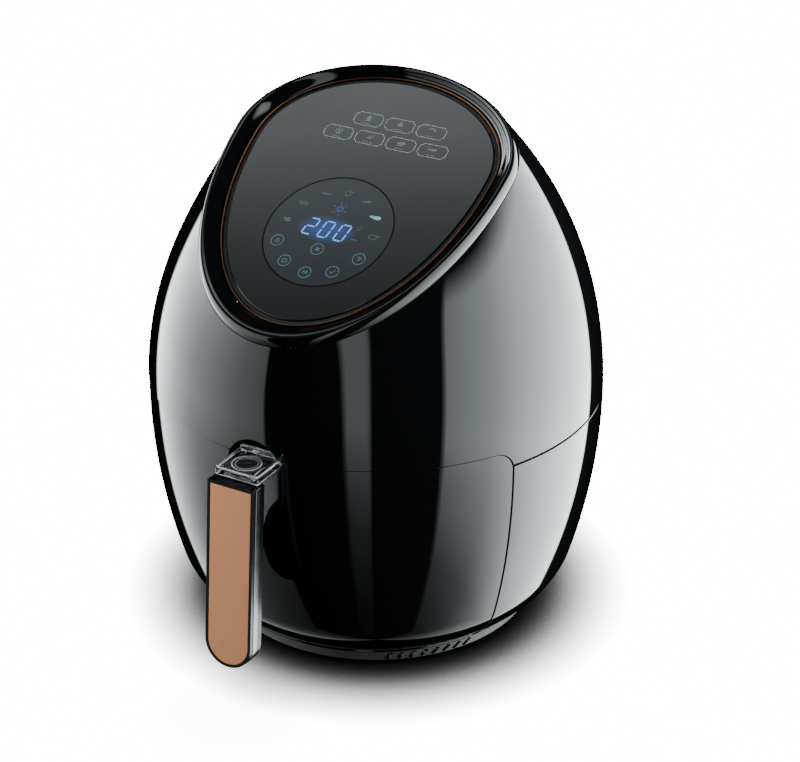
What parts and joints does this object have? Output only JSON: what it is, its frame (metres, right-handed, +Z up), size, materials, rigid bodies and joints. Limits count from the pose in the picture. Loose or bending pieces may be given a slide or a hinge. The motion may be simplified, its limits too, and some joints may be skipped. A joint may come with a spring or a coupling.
{
  "type": "hot-air fryer",
  "caption": "Egg-shaped hot-air fryer with a slanted touch panel, pull-out pan and basket, and an upright bar handle with a covered release button.",
  "frame": {"origin": "body axis where it meets the table that the feet stand on", "axes": "+Z up, -Y towards the drawer and handle, +X to the right seen from the front"},
  "size_m": [0.316, 0.3546, 0.3753],
  "materials": {
    "gloss_black": "high gloss",
    "matte_black": "fine texture",
    "dark_grey": "satin",
    "copper_trim": "satin copper",
    "smoked_glass": "smoked, printed from behind",
    "display": "lit display",
    "circuit_board": "green solder mask",
    "rubber": "matt",
    "silicone": "satin",
    "screw_steel": "zinc plated",
    "sheet_steel": "galvanised sheet",
    "chrome_trim": "polished",
    "element_steel": "heat darkened",
    "nonstick": "non-stick coating",
    "spring_steel": "bright wire",
    "aluminium_fan": "pressed sheet",
    "clear_cover": "clear polished plastic"
  },
  "bodies": {
    "housing": {"upper_shell": "gloss_black", "lower_shell": "gloss_black", "base_pan": "matte_black", "base_ring": "matte_black", "feet": "rubber", "foot_screws": "screw_steel", "base_screws": "screw_steel", "rear_vent_cover": "matte_black", "exhaust_duct": "dark_grey", "cord_gland": "rubber", "panel_rim": "gloss_black", "trim_ring": "copper_trim", "glass_panel": "smoked_glass", "panel_tray": "matte_black", "display_module": "display", "touch_board": "circuit_board", "board_spacers": "screw_steel", "power_board": "circuit_board", "inner_housing": "sheet_steel", "drawer_rails": "sheet_steel", "chamber_top": "sheet_steel", "heat_reflector": "sheet_steel", "heating_element": "element_steel", "element_clips": "sheet_steel", "heater_guard": "screw_steel", "motor": "sheet_steel", "motor_bracket": "sheet_steel", "cooling_shroud": "dark_grey", "temperature_probe": "screw_steel", "thermal_fuse": "screw_steel", "drawer_switch": "matte_black"},
    "rotor": {"motor_shaft": "screw_steel", "convection_fan": "aluminium_fan", "cooling_fan": "dark_grey", "fan_nut": "screw_steel"},
    "drawer": {"drawer_front": "gloss_black", "drawer_inner": "matte_black", "pan": "nonstick", "pan_catch": "screw_steel", "basket": "nonstick", "basket_bumpers": "silicone", "basket_strap": "sheet_steel", "handle_bracket": "dark_grey", "handle_grip": "gloss_black", "grip_frame": "chrome_trim", "grip_inlay": "copper_trim", "handle_screws": "screw_steel", "lever_pin": "screw_steel", "button_spring": "spring_steel"},
    "button": {"release_button": "dark_grey"},
    "lever": {"latch_lever": "screw_steel"},
    "cover": {"button_cover": "clear_cover"},
    "plunger": {"switch_plunger": "dark_grey"}
  },
  "joints": [
    {"name": "drawer_slide", "type": "slide", "parent": "housing", "child": "drawer", "axis": [0, -1, 0], "range_m": [0, 0.225]},
    {"name": "fan_spin", "type": "hinge", "parent": "housing", "child": "rotor", "pos_m": [0, 0, 0.2], "axis": [0, 0, 1], "continuous": true},
    {"name": "button_press", "type": "slide", "parent": "drawer", "child": "button", "axis": [0, 0, -1], "range_m": [0, 0.0025], "stiffness_N_per_m": 400, "springref_m": -0.002, "deforming": ["button_spring"]},
    {"name": "lever_turn", "type": "hinge", "parent": "drawer", "child": "lever", "pos_m": [0, -0.154, 0.1594], "axis": [1, 0, 0], "range_deg": [0, 13.07]},
    {"name": "cover_slide", "type": "slide", "parent": "drawer", "child": "cover", "axis": [0, -1, 0], "range_m": [0, 0.012]},
    {"name": "switch_press", "type": "slide", "parent": "housing", "child": "plunger", "axis": [0, 1, 0], "range_m": [0, 0.0015], "stiffness_N_per_m": 250, "springref_m": -0.002}
  ],
  "couplings": [
    {"joint": "lever_turn", "follows": "button_press", "rad_per_m": 90.92}
  ]
}
